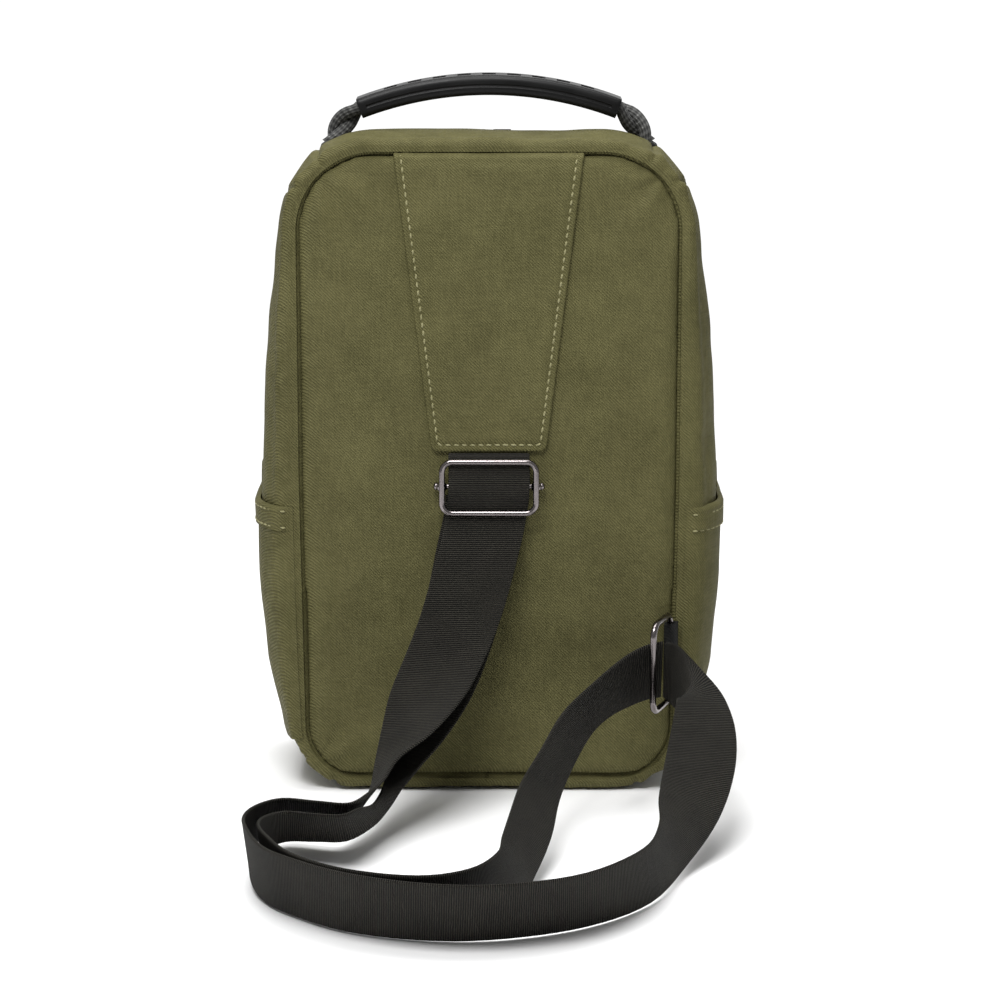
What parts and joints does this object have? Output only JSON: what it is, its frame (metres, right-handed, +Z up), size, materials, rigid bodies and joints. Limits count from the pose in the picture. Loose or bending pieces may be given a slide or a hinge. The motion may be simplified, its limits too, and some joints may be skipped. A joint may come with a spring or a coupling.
{
  "type": "sling bag",
  "caption": "Small upright one-shoulder sling bag with a zipped main compartment, side pockets, a rope carry handle and a webbing strap with slide adjuster and ring.",
  "frame": {"origin": "centre of the flat bottom, on the surface the bag stands on", "axes": "+Z up; -Y out of the back panel, towards the wearer; +X to the right as seen from behind the bag, the side with the strap's ring"},
  "size_m": [0.2195, 0.3266, 0.3308],
  "materials": {
    "olive_twill": "fine twill nylon, dry with a slight sheen",
    "lining": "plain woven lining",
    "foam": "closed-cell foam",
    "black_webbing": "ribbed webbing",
    "black_rope": "braided rope",
    "grip_rubber": "satin moulded",
    "zip_tape": "woven tape",
    "zip_coil": "nylon coil",
    "gunmetal": "dark polished plating",
    "stiff_board": "plain"
  },
  "bodies": {
    "bag": {"back_foam": "foam", "back_lining": "lining", "back_panel": "olive_twill", "bottom_board": "stiff_board", "front_panel_lower": "olive_twill", "front_pocket": "olive_twill", "front_pocket_coil": "zip_coil", "front_pocket_tape": "zip_tape", "gusset_bottom": "olive_twill", "gusset_corner_low_left": "olive_twill", "gusset_corner_low_right": "olive_twill", "gusset_side_low_left": "olive_twill", "gusset_side_low_right": "olive_twill", "handle_anchor_left": "black_webbing", "handle_anchor_right": "black_webbing", "inner_slip_pocket": "lining", "rear_gusset_corner_left": "olive_twill", "rear_gusset_corner_right": "olive_twill", "rear_gusset_side_left": "olive_twill", "rear_gusset_side_right": "olive_twill", "rear_gusset_top": "olive_twill", "ring_tab": "black_webbing", "side_pocket_hem_left": "olive_twill", "side_pocket_hem_right": "olive_twill", "side_pocket_left": "olive_twill", "side_pocket_right": "olive_twill", "strap_run_front": "black_webbing", "strap_run_rear": "black_webbing", "yoke": "olive_twill", "zip_coil_rear": "zip_coil", "zip_end_tab_left": "olive_twill", "zip_end_tab_right": "olive_twill", "zip_tape_rear": "zip_tape"},
    "front_flap": {"flap_gusset_corner_left": "olive_twill", "flap_gusset_corner_right": "olive_twill", "flap_gusset_side_left": "olive_twill", "flap_gusset_side_right": "olive_twill", "flap_gusset_top": "olive_twill", "flap_panel": "olive_twill", "zip_coil_front": "zip_coil", "zip_tape_front": "zip_tape"},
    "handle": {"handle_grip": "grip_rubber", "rope_front": "black_rope", "rope_rear": "black_rope"},
    "adjuster": {"adjuster_frame": "gunmetal", "adjuster_bar": "gunmetal", "strap_eye": "black_webbing"},
    "ring": {"strap_ring": "gunmetal"},
    "zip_slider_left": {"zip_slider_left_body": "gunmetal"},
    "zip_puller_left": {"zip_slider_left_puller": "gunmetal"},
    "zip_slider_right": {"zip_slider_right_body": "gunmetal"},
    "zip_puller_right": {"zip_slider_right_puller": "gunmetal"},
    "pocket_slider": {"pocket_slider_body": "gunmetal"},
    "pocket_puller": {"pocket_slider_puller": "gunmetal"}
  },
  "joints": [
    {"name": "flap_hinge", "type": "hinge", "parent": "bag", "child": "front_flap", "pos_m": [0, 0.045, 0.142], "axis": [-1, 0, 0], "range_deg": [0, 65]},
    {"name": "handle_swing", "type": "hinge", "parent": "bag", "child": "handle", "pos_m": [0, -0.0118, 0.30336], "axis": [1, 0, 0], "range_deg": [-14, 14]},
    {"name": "adjuster_slide", "type": "slide", "parent": "bag", "child": "adjuster", "axis": [-0.1, -0.1301, -0.9864], "range_m": [0, 0.018], "deforming": ["strap_run_front", "strap_run_rear"]},
    {"name": "ring_swing", "type": "hinge", "parent": "bag", "child": "ring", "pos_m": [0.0835, -0.0495, 0.0665], "axis": [0, 0, 1], "range_deg": [-5, 20]},
    {"name": "zip_slide_left", "type": "slide", "parent": "bag", "child": "zip_slider_left", "axis": [-1, 0, 0], "range_m": [0, 0.042]},
    {"name": "zip_pull_left", "type": "hinge", "parent": "zip_slider_left", "child": "zip_puller_left", "pos_m": [-0.006, 0.0054, 0.30219], "axis": [1, 0, 0], "range_deg": [0, 90]},
    {"name": "zip_slide_right", "type": "slide", "parent": "bag", "child": "zip_slider_right", "axis": [1, 0, 0], "range_m": [0, 0.042]},
    {"name": "zip_pull_right", "type": "hinge", "parent": "zip_slider_right", "child": "zip_puller_right", "pos_m": [0.006, 0.0054, 0.30219], "axis": [1, 0, 0], "range_deg": [0, 90]},
    {"name": "pocket_zip_slide", "type": "slide", "parent": "bag", "child": "pocket_slider", "axis": [1, 0, 0], "range_m": [0, 0.115]},
    {"name": "pocket_pull", "type": "hinge", "parent": "pocket_slider", "child": "pocket_puller", "pos_m": [-0.058, 0.0513, 0.1235], "axis": [1, 0, 0], "range_deg": [0, 90]}
  ]
}
